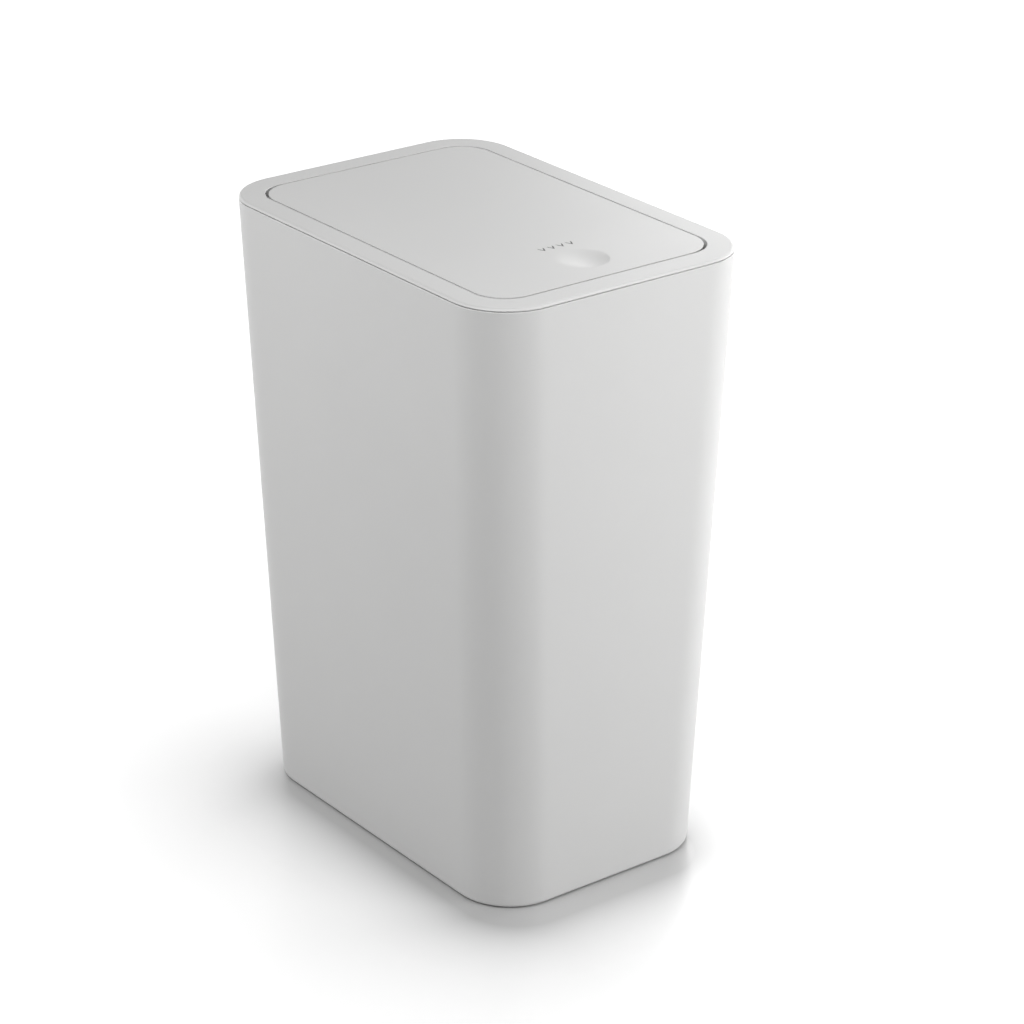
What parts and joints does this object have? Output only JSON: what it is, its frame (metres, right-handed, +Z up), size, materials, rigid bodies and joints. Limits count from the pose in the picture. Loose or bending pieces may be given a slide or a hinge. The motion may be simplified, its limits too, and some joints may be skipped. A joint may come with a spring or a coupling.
{
  "type": "push top countertop bin",
  "caption": "Tapered countertop waste bin with rounded corners, a lift-off frame and a flush lid that is pressed at a fingertip dimple and springs open on a damped hinge near its rear edge.",
  "frame": {"origin": "on the floor under the middle of the bin, in the plane of its four pads", "axes": "+Z up, +Y towards the hinge, -Y towards the pressed end of the lid, X across the bin"},
  "size_m": [0.1744, 0.2504, 0.35],
  "materials": {
    "white_shell": "fine moulded matte",
    "inner_white": "matte",
    "ring_grey": "satin",
    "mark_grey": "matte",
    "catch_grey": "satin",
    "slider_white": "satin",
    "damper_grey": "satin",
    "pinion_nylon": "satin",
    "spring_steel": "drawn wire",
    "zinc_steel": "zinc plated",
    "soft_rubber": "matte"
  },
  "bodies": {
    "bucket": {"bucket": "white_shell", "foot_pad_front_left": "soft_rubber", "foot_pad_front_right": "soft_rubber", "foot_pad_rear_left": "soft_rubber", "foot_pad_rear_right": "soft_rubber"},
    "bag_ring": {"bag_ring": "ring_grey"},
    "lid_frame": {"lid_frame": "white_shell", "latch_housing": "catch_grey", "latch_cover": "catch_grey", "latch_pin": "spring_steel", "latch_spring": "spring_steel", "latch_screws": "zinc_steel", "hinge_spring_left": "spring_steel", "hinge_spring_right": "spring_steel", "damper_body": "damper_grey", "damper_clip": "damper_grey", "damper_screws": "zinc_steel", "lid_buffer_left": "soft_rubber", "lid_buffer_right": "soft_rubber"},
    "lid": {"lid_panel": "white_shell", "press_mark": "mark_grey", "lid_liner": "inner_white", "lid_screws": "zinc_steel", "lid_striker": "slider_white", "striker_screws": "zinc_steel", "hinge_pin_left": "zinc_steel", "hinge_pin_right": "zinc_steel"},
    "latch_slider": {"latch_slider": "slider_white"},
    "damper_rotor": {"damper_pinion": "pinion_nylon"}
  },
  "joints": [
    {"name": "bag_ring_lift", "type": "slide", "parent": "bucket", "child": "bag_ring", "axis": [0, 0, 1], "range_m": [0, 0.06]},
    {"name": "lid_frame_lift", "type": "slide", "parent": "bag_ring", "child": "lid_frame", "axis": [0, 0, 1], "range_m": [0, 0.06]},
    {"name": "lid_hinge", "type": "hinge", "parent": "lid_frame", "child": "lid", "pos_m": [0, 0.09, 0.3455], "axis": [-1, 0, 0], "range_deg": [-0.7, 80], "stiffness_Nm_per_rad": 0.1, "springref_deg": 74.48},
    {"name": "latch_press", "type": "slide", "parent": "lid_frame", "child": "latch_slider", "axis": [0, 0, 1], "range_m": [-0.0025, 0.006], "stiffness_N_per_m": 200, "deforming": ["latch_spring"]},
    {"name": "damper_spin", "type": "hinge", "parent": "lid_frame", "child": "damper_rotor", "pos_m": [0, 0.07696, 0.3385], "axis": [-1, 0, 0], "range_deg": [-168, 2]}
  ],
  "couplings": [
    {"joint": "damper_spin", "follows": "lid_hinge", "ratio": -2.0833}
  ]
}
